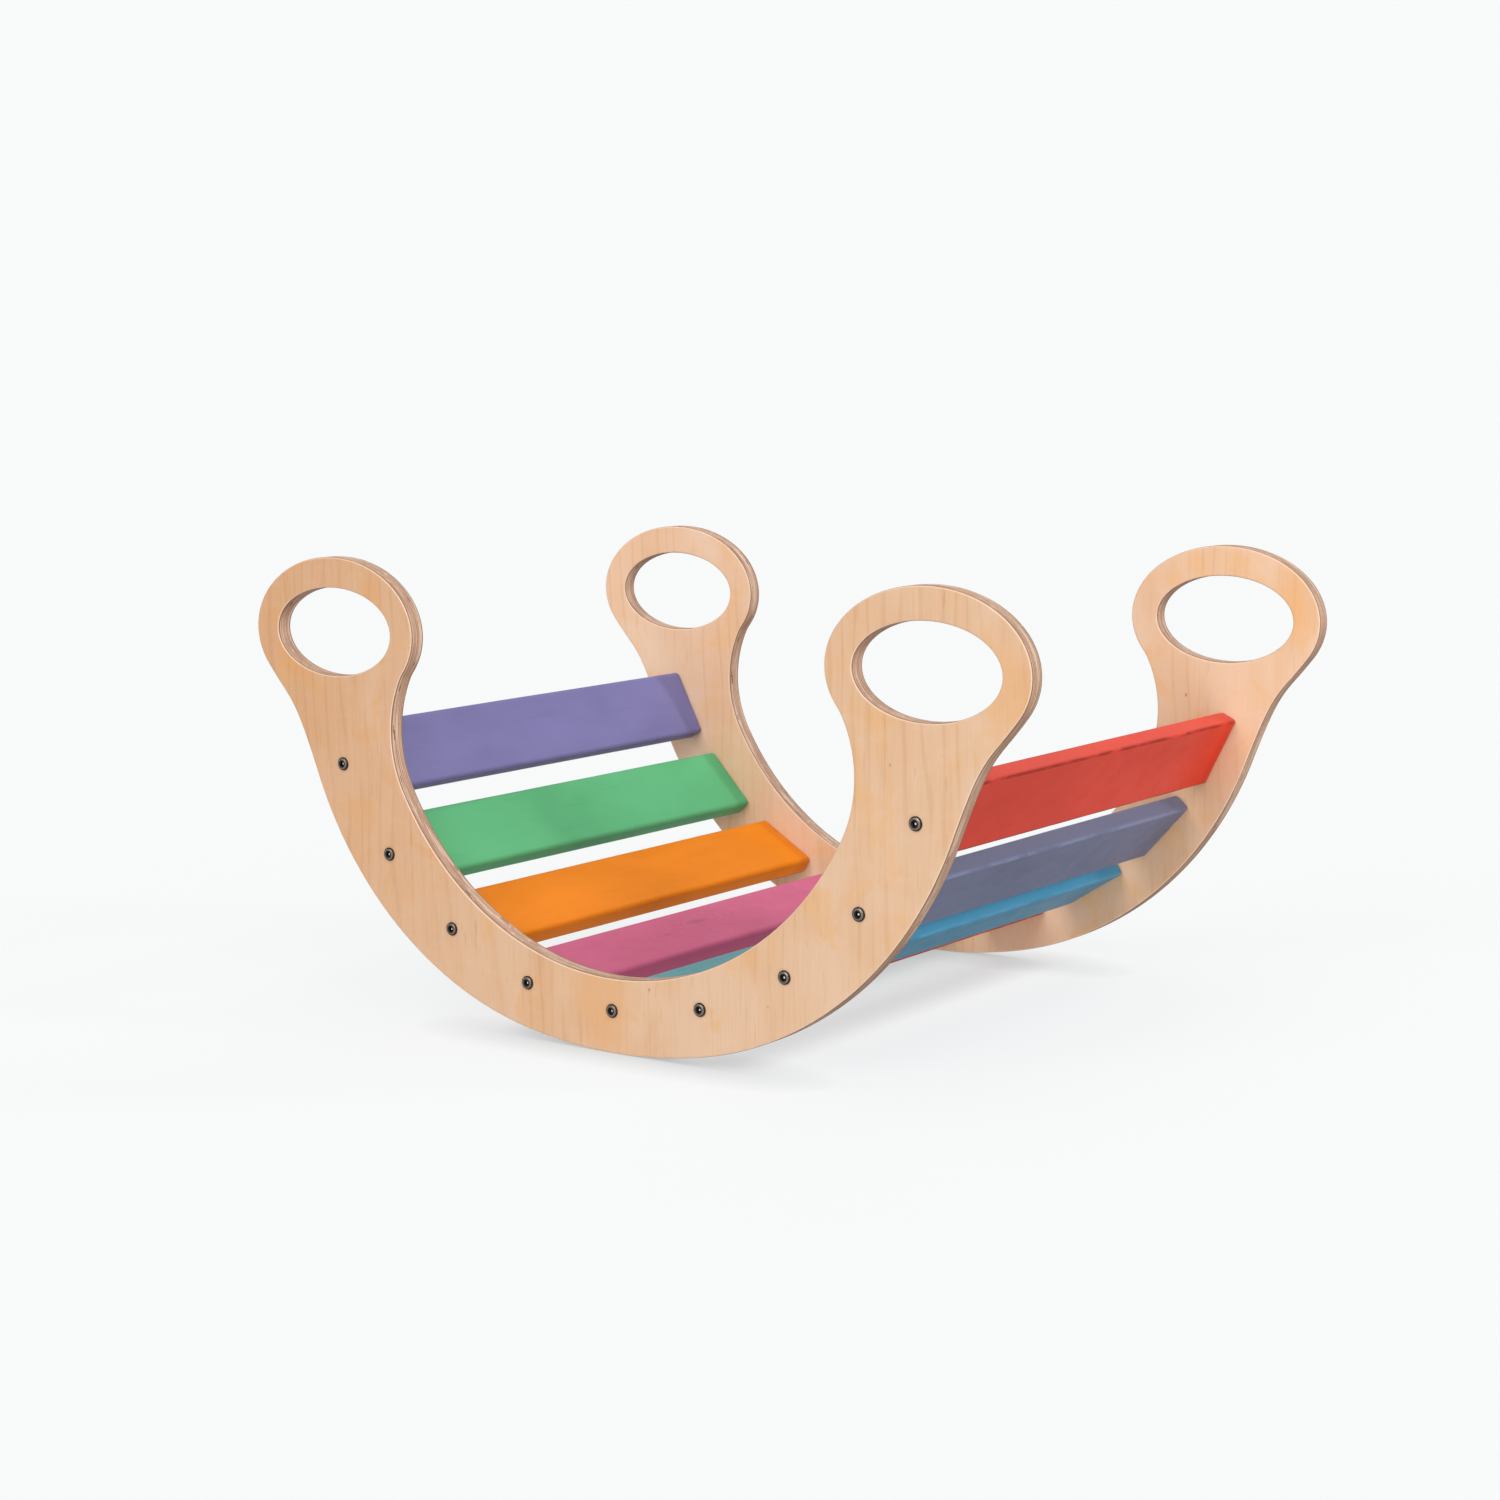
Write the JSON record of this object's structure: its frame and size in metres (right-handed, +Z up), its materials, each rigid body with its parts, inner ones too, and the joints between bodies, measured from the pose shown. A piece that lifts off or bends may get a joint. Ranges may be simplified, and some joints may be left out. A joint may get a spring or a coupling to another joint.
{
  "type": "rocking seesaw",
  "caption": "Children's wooden rocker seesaw: U-shaped plywood side panels with oval grip rings, joined by painted slats that form a curved seat; it rocks on the panels' lower edges.",
  "frame": {"origin": "on the floor under the middle of the seat, where the curved runners rest", "axes": "+X along the rocking direction, +Y across the seat from the front panel to the back panel, +Z up"},
  "size_m": [1.0756, 0.6926, 0.5398],
  "materials": {
    "birch_ply": "clear matt lacquer over fine vertical grain, layered edges",
    "paint_violet": "satin violet paint on wood, grain faintly showing",
    "paint_green": "satin green paint on wood, grain faintly showing",
    "paint_orange": "satin orange paint on wood, grain faintly showing",
    "paint_pink": "satin pink paint on wood, grain faintly showing",
    "paint_teal": "satin teal paint on wood, grain faintly showing",
    "paint_vermilion": "satin vermilion paint on wood, grain faintly showing",
    "paint_sky": "satin sky paint on wood, grain faintly showing",
    "paint_slate": "satin slate paint on wood, grain faintly showing",
    "paint_red": "satin red paint on wood, grain faintly showing",
    "bronze_steel": "dark bronze plated steel, satin",
    "beech": "bare turned beech"
  },
  "bodies": {
    "root": {"side_panel_front": "birch_ply", "side_panel_back": "birch_ply", "slat_01_violet": "paint_violet", "slat_02_green": "paint_green", "slat_03_orange": "paint_orange", "slat_04_pink": "paint_pink", "slat_05_teal": "paint_teal", "slat_06_vermilion": "paint_vermilion", "slat_07_sky": "paint_sky", "slat_08_slate": "paint_slate", "slat_09_red": "paint_red", "screw_front_01": "bronze_steel", "screw_front_02": "bronze_steel", "screw_front_03": "bronze_steel", "screw_front_04": "bronze_steel", "screw_front_05": "bronze_steel", "screw_front_06": "bronze_steel", "screw_front_07": "bronze_steel", "screw_front_08": "bronze_steel", "screw_front_09": "bronze_steel", "screw_back_01": "bronze_steel", "screw_back_02": "bronze_steel", "screw_back_03": "bronze_steel", "screw_back_04": "bronze_steel", "screw_back_05": "bronze_steel", "screw_back_06": "bronze_steel", "screw_back_07": "bronze_steel", "screw_back_08": "bronze_steel", "screw_back_09": "bronze_steel", "dowel_front_01": "beech", "dowel_front_02": "beech", "dowel_front_03": "beech", "dowel_front_04": "beech", "dowel_front_05": "beech", "dowel_front_06": "beech", "dowel_front_07": "beech", "dowel_front_08": "beech", "dowel_front_09": "beech", "dowel_back_01": "beech", "dowel_back_02": "beech", "dowel_back_03": "beech", "dowel_back_04": "beech", "dowel_back_05": "beech", "dowel_back_06": "beech", "dowel_back_07": "beech", "dowel_back_08": "beech", "dowel_back_09": "beech"}
  },
  "joints": []
}
